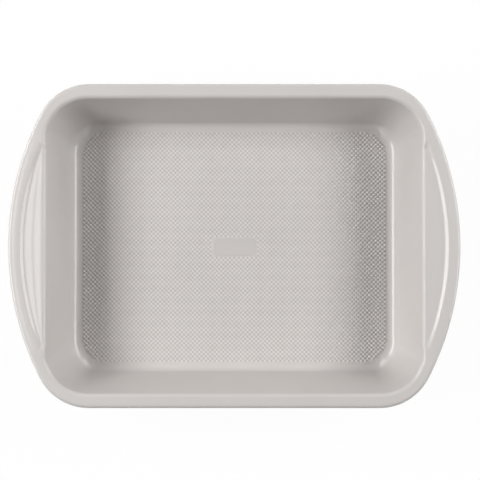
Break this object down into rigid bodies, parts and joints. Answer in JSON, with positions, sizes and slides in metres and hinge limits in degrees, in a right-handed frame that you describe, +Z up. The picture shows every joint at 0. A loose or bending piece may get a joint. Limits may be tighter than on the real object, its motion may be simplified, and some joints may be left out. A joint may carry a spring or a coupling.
{
  "type": "roasting pan",
  "caption": "Rectangular pressed-steel roasting pan with leaning walls, rounded corners and a rolled rim that widens into a handle with a crescent grip recess at each short end.",
  "frame": {"origin": "centre of the underside, on the surface that the pan stands on", "axes": "+X along the length towards a handle, +Y across the width, +Z up"},
  "size_m": [0.4, 0.2864, 0.065],
  "materials": {
    "coated_sheet": "satin light warm grey non-stick coat on steel sheet",
    "wire_steel": "bright drawn steel wire"
  },
  "bodies": {
    "root": {"pan_body": "coated_sheet", "rim_wire": "wire_steel"}
  },
  "joints": []
}
